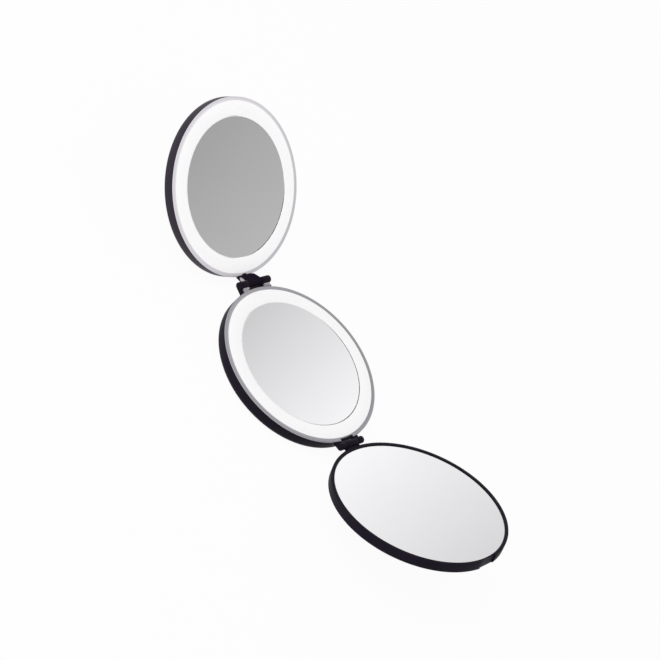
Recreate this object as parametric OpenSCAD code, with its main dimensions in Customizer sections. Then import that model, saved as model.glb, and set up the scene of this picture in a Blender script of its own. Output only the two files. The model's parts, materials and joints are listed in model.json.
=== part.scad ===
// Tri-fold lighted compact mirror: three round leaves in a chain, joined by two hinges.
// Origin: centre of the middle leaf's flat back. +Z is out of its mirror, +Y towards the upper leaf,
// +X along both hinge axes. Each leaf is drawn with its own face at z = 0 and then put in its place.

/* [Leaves] */
// Outer diameter of each round leaf
leaf_d = 88; // [86:0.5:94]
// Thickness of the middle leaf, from its back to its bezel
middle_t = 8.4; // [8.4:0.1:10]
// Thickness of the upper leaf
upper_t = 6.5; // [6.2:0.1:8]
// Thickness of the lower leaf
lower_t = 5; // [4.4:0.1:6]
// Space between two leaves when they are folded
leaf_gap = 0.4; // [0.35:0.05:0.8]
// Angle of the upper leaf as it stands, from flat open
upper_lean = 36; // [0:1:60]
// Angle of the lower leaf as it stands, from flat open
lower_lean = 24; // [0:1:60]

/* [Shells] */
// Thickness of the side wall beside the bezel
wall_t = 1.3; // [1.1:0.1:1.6]
// Width of the ledge inside the wall that the tray sits on
ledge_w = 1.1; // [0.8:0.1:1.4]
// Thickness of the middle leaf's back
middle_back_t = 1.2; // [1:0.1:1.4]
// Thickness of the upper leaf's back
upper_back_t = 1; // [0.8:0.1:1.2]
// Rounding of the middle leaf's back edge
middle_edge_r = 3.6; // [2:0.1:4]
// Rounding of the upper leaf's back edge
upper_edge_r = 1.4; // [0.6:0.1:2]
// Rounding of the lower leaf's back edge
lower_edge_r = 0.9; // [0.4:0.1:1.4]

/* [Bezels] */
// Height of the bezel's lip, which lies on the wall
lip_t = 0.5; // [0.4:0.1:0.8]
// Rounding of the lip's outer corner
lip_edge_r = 0.3; // [0.1:0.05:0.35]
// Thickness of the bezel's skirt inside the wall
skirt_t = 0.6; // [0.5:0.1:0.8]
// Width of each raised lug beside the upper hinge
lug_w = 4; // [3:0.1:5]
// Height of the lugs above the bezel
lug_h = 0.7; // [0.4:0.1:1]
// Half width of the bezel's slot over the arm
slot_half = 1.5; // [1:0.1:2.5]

/* [Mirrors and lamp rings] */
// Width of the white ring that shows round each lit leaf's mirror
ring_w = 7.2; // [6.4:0.1:8.4]
// Thickness of the two lit leaves' glass
mirror_t = 1.5; // [1.2:0.1:2]
// Width of the lower leaf's rim round its mirror
lower_rim_w = 1.75; // [1.7:0.05:2.6]
// Thickness of the lower mirror's glass
lower_mirror_t = 2; // [1.5:0.1:2.4]
// Depth of the lower mirror below its rim
lower_mirror_recess = 0.5; // [0.3:0.1:0.9]
// Thickness of the adhesive pads
pad_t = 0.4; // [0.3:0.1:0.6]
// Depth of glass and diffuser below the bezel's face
face_recess = 0.1; // [0.05:0.05:0.3]
// Dark gap between a lit leaf's mirror and its diffuser
mirror_gap = 0.3; // [0.2:0.05:0.5]
// Thickness of the diffuser's face
diffuser_t = 1; // [0.8:0.1:1.2]
// Thickness of the diffuser's two legs
diffuser_leg_t = 0.8; // [0.6:0.1:1]
// Thickness of the tray's two steps
tray_t = 1; // [0.8:0.1:1.2]
// Thickness of the lamp ring's board
lamp_board_t = 0.6; // [0.4:0.1:0.8]
// Lamps on each ring
lamp_count = 24; // [12:1:32]
// Length of a lamp along the ring
lamp_l = 2.8; // [2:0.1:3]
// Width of a lamp
lamp_w = 1.4; // [1:0.1:2]
// Height of a lamp
lamp_h = 0.6; // [0.4:0.1:0.65]

/* [Upper hinge] */
// Distance of the upper hinge axis from the middle leaf's rim
upper_axis_out = 2.9; // [2.8:0.1:3.4]
// Radius of the upper barrel and ears
upper_barrel_r = 1.9; // [1.8:0.05:2.1]
// Width of the arm
arm_w = 9.6; // [8.6:0.1:10.4]
// Width of each upper ear
upper_ear_w = 5.7; // [5:0.1:7]
// Diameter of the upper pin
upper_pin_d = 2; // [1.6:0.1:2.2]
// Height of the arm's flat end in front of the upper leaf's face
arm_end_h = 2.4; // [1.8:0.1:3]
// Depth of the arm's root below that face
arm_root_h = 1.4; // [1:0.1:2.4]
// Depth of the silver inlays in the arm's sides
inlay_t = 0.4; // [0.3:0.1:0.6]
// Black border left round the inlays
inlay_border = 0.5; // [0.4:0.1:0.6]

/* [Lower hinge] */
// Distance of the lower hinge axis from the middle leaf's rim
lower_axis_out = 2.4; // [2.3:0.1:2.8]
// Radius of the lower barrel and ears
lower_barrel_r = 1.8; // [1.6:0.05:1.9]
// Width of the lower leaf's knuckle
knuckle_w = 8.4; // [7:0.1:9]
// Width of each lower ear
lower_ear_w = 3.7; // [3:0.1:5]
// Diameter of the lower pin
lower_pin_d = 1.5; // [1.2:0.1:1.8]

/* [Power] */
// Length of the battery
battery_l = 46; // [36:1:48]
// Width of the battery
battery_w = 33; // [26:1:34]
// Thickness of the battery
battery_t = 3; // [2.5:0.1:3.1]
// Thickness of the control board
board_t = 0.8; // [0.6:0.1:1]
// Width of the control board, from its outer to its inner edge
board_w = 13; // [11:0.5:13.5]
// Width of the charging port
port_w = 7.6; // [7:0.1:8]
// Height of the charging port
port_h = 2.4; // [2.2:0.1:2.5]
// Direction of the charging port, from the button's, in degrees
port_angle = -26; // [-30:1:-22]
// Length of the power button
button_l = 8; // [6:0.1:9]
// Height of the power button
button_h = 2; // [1.6:0.1:2.1]
// How far the button stands out of the wall
button_proud = 0.6; // [0.45:0.05:1]
// How far the button can be pushed in
button_travel = 0.4; // [0.2:0.05:0.4]

/* [Fits] */
// Radial clearance of each pin in the barrel that turns on it
pin_clear = 0.05; // [0.02:0.01:0.08]
// Side gap between each barrel and its ears
ear_gap = 0.3; // [0.3:0.05:0.5]
// Clearance round pieces that drop in
seat_clear = 0.05; // [0.03:0.01:0.1]
// Clearance round the button in its wall
button_clear = 0.15; // [0.1:0.05:0.2]
// Space between the folded lower leaf and the upper leaf's arm
notch_clear = 0.4; // [0.3:0.05:0.5]

/* [Hidden] */
$fn = 96;
eps = 0.01;
leaf_r = leaf_d / 2;
cavity_r = leaf_r - wall_t;
ledge_r = cavity_r - ledge_w;

// depths below the face of a lit leaf
glass_back = face_recess + mirror_t;
tray_top = glass_back + pad_t;
tray_step = tray_top + tray_t;
tray_back = tray_step + tray_t;

// radii of a lit leaf's rings, from the wall inwards, and of the lower leaf's mirror
bezel_in_r = cavity_r - seat_clear - skirt_t;
diffuser_out_r = bezel_in_r - seat_clear;
diffuser_in_r = diffuser_out_r - ring_w;
mirror_r = diffuser_in_r - mirror_gap;
tray_boss_r = mirror_r - 0.1;
tray_step_r = tray_boss_r - tray_t;
lower_mirror_r = leaf_r - lower_rim_w;
board_clear = 0.2;
lamp_board_in_r = diffuser_in_r + diffuser_leg_t + board_clear;
lamp_board_out_r = diffuser_out_r - diffuser_leg_t - board_clear;
lamp_r = (lamp_board_in_r + lamp_board_out_r) / 2;

// screws that hold the trays
screw_r = 0.8;
screw_head_r = 1.6;
screw_head_h = 0.5;
screw_l = 2.6;
screw_sink = 0.6;
screw_post_r = 2.2;
screw_circle_r = tray_step_r - screw_post_r - 0.2;
screw_angles = [45, 135, 225, 315];

// upper hinge: the axis lies in the middle leaf's face plane
upper_axis_y = leaf_r + upper_axis_out;
upper_drop = 2 * leaf_gap + lower_t;
upper_pin_r = upper_pin_d / 2;
upper_ear_x = arm_w / 2 + ear_gap;
ear_end_t = 1.2;
ear_web_h = 2.3;
cradle_y = upper_axis_y - 1.2;
arm_end_y = leaf_r - 0.65;
notch_y = arm_end_y - notch_clear;
notch_half = arm_w / 2 + notch_clear;
lug_x = upper_ear_x + 0.3;
lug_in_r = leaf_r + 0.35;
lug_out_y = leaf_r + 0.9;

// lower hinge: the axis lies half of the folded gap above the middle leaf's face
lower_axis_y = leaf_r + lower_axis_out;
lower_axis_z = leaf_gap / 2;
lower_pin_r = lower_pin_d / 2;
lower_ear_x = knuckle_w / 2 + ear_gap;
knuckle_web_h = 3.2;

// power parts, measured up from the middle leaf's back
battery_x = -6;
board_z = middle_back_t + 0.2;
board_out_r = ledge_r - 2;
board_in_r = board_out_r - board_w;
board_angles = [-60, 33];
port_z = board_z + 0.2;
port_l = 5.4;
port_shell_t = 0.3;
port_out_r = ledge_r - 0.2;
switch_l = 4.7;
switch_w = 3.5;
switch_h = 1.7;
switch_out_r = ledge_r - 2.6;
plunger_w = 2.4;
plunger_h = 1;
button_z = board_z + board_t + switch_h / 2;
flange_t = 0.8;
flange_edge = 0.4;
flange_out_x = sqrt(pow(ledge_r, 2) - pow(button_l / 2 + flange_edge, 2)) - button_clear;
button_in_r = flange_out_x - flange_t;
plunger_l = button_in_r - (switch_out_r - 1.2);
lead_r = 0.5;
lead_gap = 4;
lead_end = 4;
lamp_lead_r = (lamp_board_in_r + lamp_board_out_r) / 2;
lamp_lead_angle = 22;

black = [0.1, 0.095, 0.11];
silver = [0.66, 0.65, 0.68];
glass = [0.86, 0.88, 0.9];
lit = [1, 1, 1];
white = [0.92, 0.92, 0.9];
steel = [0.6, 0.6, 0.62];
green = [0.16, 0.38, 0.25];
foam = [0.3, 0.3, 0.32];

// places of the three leaves: each child is drawn with its leaf's face at z = 0
module in_middle() {
    translate([0, 0, middle_t]) children();
}

module in_upper() {
    translate([0, upper_axis_y, middle_t]) rotate([upper_lean, 0, 0])
        translate([0, upper_axis_y, -upper_drop]) children();
}

module in_lower() {
    translate([0, -lower_axis_y, middle_t + lower_axis_z]) rotate([-lower_lean, 0, 0])
        translate([0, -lower_axis_y, -lower_axis_z]) children();
}

// a bar along X with the outline given in Y and Z, from x0 over the width w
module along_x(x0, w) {
    translate([x0, 0, 0]) rotate([90, 0, 90]) linear_extrude(height = w) children();
}

module ring(r_in, r_out, z0, z1) {
    translate([0, 0, z0]) difference() {
        cylinder(r = r_out, h = z1 - z0);
        translate([0, 0, -1]) cylinder(r = r_in, h = z1 - z0 + 2);
    }
}

module disc(r, z0, z1) {
    translate([0, 0, z0]) cylinder(r = r, h = z1 - z0);
}

module at_screws() {
    for (a = screw_angles) rotate([0, 0, a]) translate([screw_circle_r, 0, 0]) children();
}

// the solid of a leaf, with its rounded back edge and its top at z = top
module leaf_solid(t, edge_r, top) {
    rotate_extrude() {
        translate([0, -t]) square([leaf_r - edge_r, t + top]);
        translate([0, -t + edge_r]) square([leaf_r, t - edge_r + top]);
        translate([leaf_r - edge_r, -t + edge_r]) intersection() {
            circle(r = edge_r);
            translate([0, -edge_r]) square([edge_r, edge_r]);
        }
    }
}

// the hollow of a lit leaf: a wide mouth for tray and bezel above a ledge
module lit_cavity(t, back_t) {
    disc(ledge_r, -t + back_t, 0);
    disc(cavity_r, -tray_back, 1);
}

// posts that the tray's screws bite into
module screw_posts(t, back_t) {
    at_screws() difference() {
        disc(screw_post_r, -t + back_t - eps, -tray_step);
        disc(screw_r, -tray_top - screw_sink - screw_l - 0.2, 0);
    }
}

// white plate in two steps: the middle carries the mirror, the outer step the lamp ring
module tray(lead_holes) {
    color(white) difference() {
        union() {
            ring(tray_step_r, cavity_r - seat_clear, -tray_back, -tray_step);
            disc(tray_boss_r, -tray_step, -tray_top);
        }
        at_screws() {
            disc(screw_r + 0.1, -tray_back - 1, 0);
            disc(screw_head_r + 0.1, -tray_top - screw_sink, 0);
        }
        if (lead_holes) at_lamp_leads() disc(lead_r + 0.2, -tray_back - 1, 0);
    }
}

module tray_screws() {
    color(steel) at_screws() {
        disc(screw_head_r, -tray_top - screw_sink, -tray_top - screw_sink + screw_head_h);
        disc(screw_r, -tray_top - screw_sink - screw_l, -tray_top - screw_sink);
    }
}

module mirror_glass(r, z_front, t) {
    color(glass) disc(r, z_front - t, z_front);
}

module mirror_pad(r, z_front) {
    color(foam) disc(r, z_front - pad_t, z_front);
}

module lamp_board() {
    color(white) ring(lamp_board_in_r, lamp_board_out_r, -tray_step, -tray_step + lamp_board_t);
}

module lamps() {
    color(lit) for (i = [0 : lamp_count - 1]) rotate([0, 0, (i + 0.5) * 360 / lamp_count])
        translate([lamp_r - lamp_w / 2, -lamp_l / 2, -tray_step + lamp_board_t])
            cube([lamp_w, lamp_l, lamp_h]);
}

// white ring with two legs that stand on the tray, one each side of the lamp board
module diffuser() {
    color(lit) {
        ring(diffuser_in_r, diffuser_out_r, -face_recess - diffuser_t, -face_recess);
        ring(diffuser_in_r, diffuser_in_r + diffuser_leg_t, -tray_step, -face_recess - diffuser_t);
        ring(diffuser_out_r - diffuser_leg_t, diffuser_out_r, -tray_step, -face_recess - diffuser_t);
    }
}

// silver ring: a lip on the wall and a skirt inside it
module bezel_ring() {
    rotate_extrude() {
        translate([bezel_in_r, -lip_t]) square([leaf_r - lip_edge_r - bezel_in_r, lip_t]);
        translate([bezel_in_r, -lip_t]) square([leaf_r - bezel_in_r, lip_t - lip_edge_r]);
        translate([leaf_r - lip_edge_r, -lip_edge_r]) intersection() {
            circle(r = lip_edge_r);
            square([lip_edge_r, lip_edge_r]);
        }
        translate([bezel_in_r, -tray_step]) square([skirt_t, tray_step - lip_t]);
    }
}

// side view of an ear: a barrel and the web that joins it to the wall
module ear_outline(axis_y, axis_z, barrel_r) {
    translate([axis_y, axis_z]) circle(r = barrel_r);
    polygon([
        [ledge_r - 1, -lip_t], [axis_y, -lip_t], [axis_y, axis_z - barrel_r],
        [ledge_r - 1, -ear_web_h - lip_t]
    ]);
}

// ears of the upper hinge on the middle leaf, cut away under the bezel's lugs, and the cradle
// between them that wraps the inner side of the arm's barrel
module upper_ears() {
    for (side = [0, 1]) mirror([side, 0, 0]) difference() {
        along_x(upper_ear_x, upper_ear_w) ear_outline(upper_axis_y, 0, upper_barrel_r);
        translate([lug_x, ledge_r - 2, -lip_t]) cube([lug_w, lug_out_y - ledge_r + 2, 10]);
    }
    along_x(-upper_ear_x - 1, 2 * upper_ear_x + 2) difference() {
        translate([ledge_r - 1, -ear_web_h - lip_t]) square([cradle_y - ledge_r + 1, ear_web_h]);
        translate([upper_axis_y, 0]) circle(r = upper_barrel_r + ear_gap);
    }
}

// ears of the lower hinge on the middle leaf
module lower_ears() {
    for (side = [0, 1]) mirror([side, 0, 0]) mirror([0, 1, 0])
        along_x(lower_ear_x, lower_ear_w) ear_outline(lower_axis_y, lower_axis_z, lower_barrel_r);
}

// each pin is driven in from the right, through one ear and blind into the other
module pin_along_x(r, y, z, end_x) {
    translate([-end_x + ear_end_t, y, z]) rotate([0, 90, 0]) cylinder(r = r, h = 2 * end_x - ear_end_t);
}

module upper_pin(r) {
    pin_along_x(r, upper_axis_y, 0, upper_ear_x + upper_ear_w);
}

module lower_pin(r) {
    pin_along_x(r, -lower_axis_y, lower_axis_z, lower_ear_x + lower_ear_w);
}

// a bar with half-round ends, along X, for the port and its slot
module stadium_bar(w, h, x0, x1) {
    along_x(x0, x1 - x0) {
        square([w - h, h], center = true);
        for (side = [-1, 1]) translate([side * (w - h) / 2, 0]) circle(d = h);
    }
}

// a bar with rounded corners, along X, for the button and its hole
module rounded_bar(w, h, x0, x1) {
    corner = 0.8;
    along_x(x0, x1 - x0) {
        square([w - 2 * corner, h], center = true);
        square([w, h - 2 * corner], center = true);
        for (y = [-1, 1], z = [-1, 1])
            translate([y * (w / 2 - corner), z * (h / 2 - corner)]) circle(r = corner);
    }
}

module at_port() {
    translate([0, 0, port_z + port_h / 2]) rotate([0, 0, port_angle]) children();
}

module at_button() {
    translate([0, 0, button_z]) children();
}

module at_lamp_leads() {
    rotate([0, 0, lamp_lead_angle]) for (side = [-1, 1])
        translate([lamp_lead_r, side * lead_gap / 2, 0]) children();
}

module middle_shell() {
    color(black) {
        difference() {
            union() {
                in_middle() leaf_solid(middle_t, middle_edge_r, -lip_t);
                in_middle() upper_ears();
                in_middle() lower_ears();
            }
            in_middle() lit_cavity(middle_t, middle_back_t);
            in_middle() upper_pin(upper_pin_r);
            in_middle() lower_pin(lower_pin_r);
            at_port() stadium_bar(port_w + 0.4, port_h + 0.4, ledge_r - 2, leaf_r + 2);
            at_button() rounded_bar(button_l + 2 * button_clear, button_h + 2 * button_clear,
                ledge_r - 2, leaf_r + 2);
        }
        in_middle() screw_posts(middle_t, middle_back_t);
        board_ribs();
    }
}

// low ribs that the control board lies on
module board_ribs() {
    for (a = [-54, -10, 10]) rotate([0, 0, a])
        translate([board_in_r + 1, -0.5, middle_back_t - eps])
            cube([3, 1, board_z - middle_back_t + eps]);
}

module middle_bezel() {
    color(silver) in_middle() {
        difference() {
            bezel_ring();
            translate([-lower_ear_x, -leaf_r - 1, -lip_t])
                cube([2 * lower_ear_x, leaf_r - bezel_in_r + 0.6, 2 * lip_t]);
        }
        difference() {
            for (side = [0, 1]) mirror([side, 0, 0]) translate([lug_x, 0, -lip_t])
                cube([lug_w, lug_out_y, lip_t + lug_h]);
            translate([0, 0, -lip_t]) disc(cavity_r, -1, lip_t);
            disc(lug_in_r, 0, lug_h + 1);
        }
    }
}

module middle_diffuser() {
    in_middle() diffuser();
}

module middle_mirror() {
    in_middle() mirror_glass(mirror_r, -face_recess, mirror_t);
}

module middle_mirror_pad() {
    in_middle() mirror_pad(mirror_r - 1, -glass_back);
}

module middle_tray() {
    in_middle() tray(true);
}

module middle_lamp_board() {
    in_middle() lamp_board();
}

module middle_lamps() {
    in_middle() lamps();
}

module middle_screws() {
    in_middle() tray_screws();
}

module battery() {
    color("silver") translate([battery_x - battery_l / 2, -battery_w / 2, middle_back_t])
        cube([battery_l, battery_w, battery_t]);
}

// two leads from the battery's end onto the control board
module battery_leads() {
    color("firebrick") for (side = [-1, 1])
        translate([battery_x + battery_l / 2, side * lead_gap, board_z + board_t + lead_r])
            rotate([0, 90, 0]) cylinder(r = lead_r, h = board_in_r + lead_end - battery_x - battery_l / 2);
}

// crescent board along the wall, cut out for the port and a screw post
module control_board() {
    a0 = board_angles[0];
    a1 = board_angles[1];
    far = 2 * leaf_r;
    color(green) difference() {
        translate([0, 0, board_z]) linear_extrude(height = board_t) intersection() {
            difference() {
                circle(r = board_out_r);
                circle(r = board_in_r);
            }
            polygon([[0, 0], [far * cos(a0), far * sin(a0)], [far, 0], [far * cos(a1), far * sin(a1)]]);
        }
        rotate([0, 0, screw_angles[3]]) translate([screw_circle_r, 0, 0])
            cylinder(r = screw_post_r + 0.3, h = middle_t);
        at_port() along_x(port_out_r - port_l - 0.1, port_l + 3)
            square([port_w + 0.2, middle_t], center = true);
    }
}

// two short leads up through the tray to the lamp board
module lamp_leads() {
    color("firebrick") at_lamp_leads()
        disc(lead_r, board_z + board_t, middle_t - tray_step);
}

// drawn metal shell with a tongue inside
module charging_port() {
    color(steel) at_port() {
        difference() {
            stadium_bar(port_w, port_h, port_out_r - port_l, port_out_r);
            stadium_bar(port_w - 2 * port_shell_t, port_h - 2 * port_shell_t,
                port_out_r - port_l + 1, port_out_r + 1);
        }
        translate([port_out_r - port_l + 1 - eps, -port_w / 4, -0.3]) cube([port_l - 2, port_w / 2, 0.6]);
    }
}

module switch_housing() {
    color(foam) difference() {
        translate([switch_out_r - switch_w, -switch_l / 2, board_z + board_t])
            cube([switch_w, switch_l, switch_h]);
        at_button() translate([switch_out_r - 1.8, -plunger_w / 2 - 0.1, -plunger_h / 2 - 0.1])
            cube([3, plunger_w + 0.2, plunger_h + 0.2]);
    }
}

module switch_plunger() {
    color(white) at_button() translate([button_in_r - plunger_l, -plunger_w / 2, -plunger_h / 2])
        cube([plunger_l, plunger_w, plunger_h]);
}

// cap through the wall with a flange behind it
module power_button() {
    color(black) at_button() {
        rounded_bar(button_l, button_h, button_in_r, leaf_r + button_proud);
        rounded_bar(button_l + 2 * flange_edge, button_h, button_in_r, flange_out_x);
    }
}

module upper_hinge_pin() {
    color(steel) in_middle() upper_pin(upper_pin_r);
}

module lower_hinge_pin() {
    color(steel) in_middle() lower_pin(lower_pin_r);
}

// outline of the arm in the upper leaf's own Y and Z, shrunk by a border for the inlays
module arm_outline() {
    tangent = 35;
    polygon([
        [-arm_end_y, -arm_root_h], [-arm_end_y, arm_end_h],
        [-upper_axis_y + upper_barrel_r * cos(tangent), upper_drop + upper_barrel_r * sin(tangent)],
        [-upper_axis_y, upper_drop],
        [-upper_axis_y - upper_barrel_r, upper_drop],
        [-upper_axis_y - 0.1, upper_drop - upper_barrel_r - 1.7],
        [-leaf_r - 0.05, -arm_root_h]
    ]);
}

module inlay_outline() {
    front_y = -arm_end_y - inlay_border;
    polygon([
        [front_y, 1.2], [front_y, arm_end_h],
        [-upper_axis_y + upper_barrel_r - inlay_border, upper_drop - 0.5],
        [-upper_axis_y, upper_drop - upper_barrel_r],
        [-upper_axis_y + 0.4, upper_drop - upper_barrel_r - 1.2],
        [-leaf_r - 1.2, 1.2]
    ]);
}

module inlays(extra) {
    for (side = [0, 1]) mirror([side, 0, 0])
        along_x(arm_w / 2 - inlay_t, inlay_t + extra) inlay_outline();
}

module upper_shell() {
    color(black) in_upper() {
        difference() {
            union() {
                leaf_solid(upper_t, upper_edge_r, -lip_t);
                along_x(-arm_w / 2, arm_w) {
                    arm_outline();
                    translate([-upper_axis_y, upper_drop]) circle(r = upper_barrel_r);
                }
                slot_lug(slot_half - 0.1, -face_recess);
            }
            lit_cavity(upper_t, upper_back_t);
            translate([-arm_w, -upper_axis_y, upper_drop]) rotate([0, 90, 0])
                cylinder(r = upper_pin_r + pin_clear, h = 2 * arm_w);
            inlays(1);
        }
        screw_posts(upper_t, upper_back_t);
    }
}

// small black lug on the wall that fills the bezel's slot
module slot_lug(half, top) {
    translate([-half, -leaf_r + 0.7, -lip_t - eps]) cube([2 * half, wall_t - 0.7, lip_t + top + eps]);
}

module arm_inlays() {
    color(silver) in_upper() inlays(0);
}

module upper_bezel() {
    color(silver) in_upper() difference() {
        bezel_ring();
        translate([-arm_w / 2 - 0.1, -leaf_r - 1, -lip_t - 1])
            cube([arm_w + 0.2, leaf_r + 1 - arm_end_y + 0.1, 3]);
        translate([-slot_half, -arm_end_y, -lip_t])
            cube([2 * slot_half, arm_end_y - cavity_r + 0.1, 3]);
    }
}

module upper_diffuser() {
    in_upper() diffuser();
}

module upper_mirror() {
    in_upper() mirror_glass(mirror_r, -face_recess, mirror_t);
}

module upper_mirror_pad() {
    in_upper() mirror_pad(mirror_r - 1, -glass_back);
}

module upper_tray() {
    in_upper() tray(false);
}

module upper_lamp_board() {
    in_upper() lamp_board();
}

module upper_lamps() {
    in_upper() lamps();
}

module upper_screws() {
    in_upper() tray_screws();
}

// thin tray with the hinge knuckle at its near end and a flat notch at its far end
module lower_shell() {
    glass_seat = lower_mirror_recess + lower_mirror_t + pad_t;
    color(black) in_lower() difference() {
        union() {
            leaf_solid(lower_t, lower_edge_r, 0);
            along_x(-knuckle_w / 2, knuckle_w) {
                translate([lower_axis_y, lower_axis_z]) circle(r = lower_barrel_r);
                polygon([
                    [leaf_r - 1, 0], [lower_axis_y, 0],
                    [lower_axis_y, lower_axis_z - lower_barrel_r],
                    [leaf_r, -knuckle_web_h], [leaf_r - 1, -knuckle_web_h]
                ]);
            }
        }
        disc(lower_mirror_r + seat_clear, -glass_seat, 1);
        translate([-notch_half, -leaf_r - 1, -lower_t - 1])
            cube([2 * notch_half, leaf_r + 1 - notch_y, lower_t + 2]);
        translate([-knuckle_w, lower_axis_y, lower_axis_z]) rotate([0, 90, 0])
            cylinder(r = lower_pin_r + pin_clear, h = 2 * knuckle_w);
    }
}

module lower_mirror() {
    in_lower() mirror_glass(lower_mirror_r, -lower_mirror_recess, lower_mirror_t);
}

module lower_mirror_pad() {
    in_lower() mirror_pad(lower_mirror_r - 1, -lower_mirror_recess - lower_mirror_t);
}

middle_shell();
middle_bezel();
middle_diffuser();
middle_mirror();
middle_mirror_pad();
middle_tray();
middle_lamp_board();
middle_lamps();
middle_screws();
battery();
battery_leads();
control_board();
lamp_leads();
charging_port();
switch_housing();
switch_plunger();
power_button();
upper_hinge_pin();
lower_hinge_pin();
upper_shell();
arm_inlays();
upper_bezel();
upper_diffuser();
upper_mirror();
upper_mirror_pad();
upper_tray();
upper_lamp_board();
upper_lamps();
upper_screws();
lower_shell();
lower_mirror();
lower_mirror_pad();
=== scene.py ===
# %% [markdown]
# A folding pocket mirror, dressed for the camera
# This lesson takes the finished model of a lighted mirror that folds in three and gives it its
# looks: black moulded plastic, satin silver rims, opal light rings and real mirrors. The model comes
# in as a fixed frame of named parts, in metres. Nothing here moves or resizes them, but a part that
# is seen can be replaced by a smoother piece of the same size in the same place.

# %% Load the frame
import json
import math

import bmesh
import bpy
from mathutils import Matrix, Vector


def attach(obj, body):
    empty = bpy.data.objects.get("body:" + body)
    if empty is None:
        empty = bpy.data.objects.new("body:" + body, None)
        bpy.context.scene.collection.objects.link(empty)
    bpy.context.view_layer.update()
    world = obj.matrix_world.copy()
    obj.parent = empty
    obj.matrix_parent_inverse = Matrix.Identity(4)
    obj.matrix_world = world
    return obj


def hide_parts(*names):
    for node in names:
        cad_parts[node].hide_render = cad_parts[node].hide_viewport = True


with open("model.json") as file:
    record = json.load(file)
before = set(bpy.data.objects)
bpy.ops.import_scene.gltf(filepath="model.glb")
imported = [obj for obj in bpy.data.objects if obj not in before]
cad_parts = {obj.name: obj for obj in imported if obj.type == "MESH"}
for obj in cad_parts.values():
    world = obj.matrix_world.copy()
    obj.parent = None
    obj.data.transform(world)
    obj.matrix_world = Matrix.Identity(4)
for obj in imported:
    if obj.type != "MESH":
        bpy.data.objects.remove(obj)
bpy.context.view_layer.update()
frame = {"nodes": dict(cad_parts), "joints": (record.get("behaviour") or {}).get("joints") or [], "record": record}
MM = 0.001

# %% [markdown]
# The camera looks down on the open mirror from the side away from its button, rolled over so that
# the three leaves run down the picture from upper left to lower right. A camera looks along its own
# -Z axis. Its matrix could come from three angles, but three directions are easier to measure on a
# picture: right, down and ahead. So the matrix is built from those.

# %% Camera
CAMERA_PLACE = Vector((-0.61722, -0.18448, 0.55664))
LOOK_RIGHT = Vector((0.64132, -0.50611, 0.57668)).normalized()
LOOK_DOWN = Vector((-0.18849, -0.83249, -0.52099)).normalized()
LOOK_AHEAD = LOOK_RIGHT.cross(LOOK_DOWN).normalized()
FOCAL_PIXELS = 1744.96
PICTURE_PIXELS = 660

camera_data = bpy.data.cameras.new("camera")
camera = bpy.data.objects.new("camera", camera_data)
bpy.context.scene.collection.objects.link(camera)
camera_turn = Matrix((LOOK_RIGHT, -LOOK_DOWN, -LOOK_AHEAD)).transposed().to_4x4()
camera.matrix_world = Matrix.Translation(CAMERA_PLACE) @ camera_turn
camera_data.sensor_width = 36.0
camera_data.lens = FOCAL_PIXELS * camera_data.sensor_width / PICTURE_PIXELS
camera_data.clip_start = 0.05
camera_data.clip_end = 20.0
bpy.context.scene.camera = camera
print("lens in millimetres:", round(camera_data.lens, 1))

# %% [markdown]
# Each leaf is easiest to model flat, with its own face at height zero, and to put in its place
# afterwards. The places of the two tilted leaves follow from their hinges: a leaf's centre is as far
# from its axis as the middle leaf's centre is, and the joint's range says how far it leans now. The
# upper leaf's axis stands off its face, and how far is measured on its silver rim.

# %% Places of the three leaves
hinges = {joint["name"]: joint for joint in frame["joints"] if joint["type"] == "hinge"}
upper_axis = Vector(hinges["upper_hinge"]["pos_m"])
lower_axis = Vector(hinges["lower_hinge"]["pos_m"])
UPPER_LEAN = math.radians(-hinges["upper_hinge"]["range_deg"][0])
LOWER_LEAN = math.radians(hinges["lower_hinge"]["range_deg"][1])
UPPER_TURN = Matrix.Rotation(UPPER_LEAN, 4, "X")
LOWER_TURN = Matrix.Rotation(-LOWER_LEAN, 4, "X")
face_height = upper_axis.z
upper_face_looks = UPPER_TURN @ Vector((0, 0, 1))
upper_drop = -max(upper_face_looks.dot(vert.co - upper_axis)
                  for vert in frame["nodes"]["upper_bezel"].data.vertices)

MIDDLE_PLACE = Matrix.Translation((0, 0, face_height))
UPPER_PLACE = (Matrix.Translation(upper_axis) @ UPPER_TURN
               @ Matrix.Translation((0, upper_axis.y, -upper_drop)))
LOWER_PLACE = (Matrix.Translation(lower_axis) @ LOWER_TURN
               @ Matrix.Translation((0, lower_axis.y, face_height - lower_axis.z)))
print("leans in degrees:", round(math.degrees(UPPER_LEAN), 1), round(math.degrees(LOWER_LEAN), 1))
print("upper face under its axis by", round(upper_drop / MM, 3), "mm")

# %% [markdown]
# A material is a small network of nodes. These helpers keep the cells below short. One starts a
# material with its shader and Object coordinates, so that every pattern is fixed to the piece in
# real metres. The others add a noise pattern, spread it between two numbers or two colours, and turn
# it into fine relief.

# %% Helpers for materials
def add_node(tree, kind, **inputs):
    made = tree.nodes.new(kind)
    for socket, value in inputs.items():
        made.inputs[socket.replace("_", " ")].default_value = value
    return made


def start_material(name, color, roughness, metallic=0.0):
    material = bpy.data.materials.new(name)
    material.use_nodes = True
    tree = material.node_tree
    shader = tree.nodes["Principled BSDF"]
    shader.inputs["Base Color"].default_value = (*color, 1.0)
    shader.inputs["Roughness"].default_value = roughness
    shader.inputs["Metallic"].default_value = metallic
    place = tree.nodes.new("ShaderNodeTexCoord")
    print("finish:", name)
    return material, tree, shader, place.outputs["Object"]


def add_grain(tree, place, scale, detail=4.0):
    noise = add_node(tree, "ShaderNodeTexNoise", Scale=scale, Detail=detail)
    tree.links.new(place, noise.inputs["Vector"])
    return noise.outputs["Fac"]


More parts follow.
